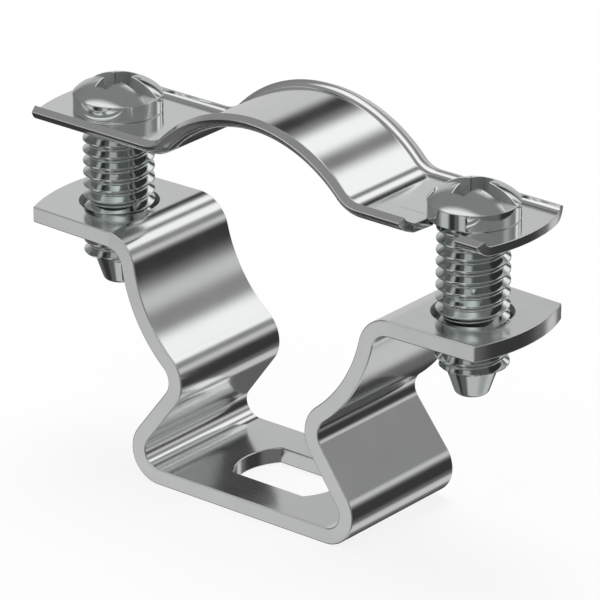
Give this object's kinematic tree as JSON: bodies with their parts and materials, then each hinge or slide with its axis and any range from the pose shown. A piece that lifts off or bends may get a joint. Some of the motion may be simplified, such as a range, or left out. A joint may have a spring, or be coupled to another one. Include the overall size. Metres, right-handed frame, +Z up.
{
  "type": "conduit strap",
  "caption": "Two-piece conduit strap: a folded steel saddle base with a fixing slot, and a lipped top strap drawn down on a round conduit by its screws.",
  "frame": {"origin": "middle of the foot's underside, under the conduit's axis", "axes": "+X across the conduit towards the screw in the strap's open slot, +Y along the conduit away from that slot's mouth, +Z up from the wall or rail that the foot sits on"},
  "size_m": [0.0486, 0.0134, 0.0343],
  "materials": {
    "plated_base": "bright nickel-like plating on rolled strip",
    "plated_strap": "bright nickel-like plating on rolled strip",
    "plated_screw": "bright plating on cold-headed wire"
  },
  "bodies": {
    "base": {"saddle_base": "plated_base"},
    "strap": {"top_strap": "plated_strap"},
    "screw_left": {"left_screw": "plated_screw"},
    "screw_right": {"right_screw": "plated_screw"}
  },
  "joints": [
    {"name": "clamp_travel", "type": "slide", "parent": "base", "child": "strap", "axis": [0, 0, 1], "range_m": [-0.0073, 0.0025]},
    {"name": "left_screw_turn", "type": "hinge", "parent": "strap", "child": "screw_left", "pos_m": [-0.0186, 0, 0.02915], "axis": [0, 0, 1], "range_deg": [-2700, 950]},
    {"name": "right_screw_turn", "type": "hinge", "parent": "strap", "child": "screw_right", "pos_m": [0.0186, 0, 0.02915], "axis": [0, 0, 1], "range_deg": [-2700, 950]}
  ],
  "couplings": [
    {"joint": "left_screw_turn", "follows": "clamp_travel", "rad_per_m": 6283.2},
    {"joint": "right_screw_turn", "follows": "clamp_travel", "rad_per_m": 6283.2}
  ]
}
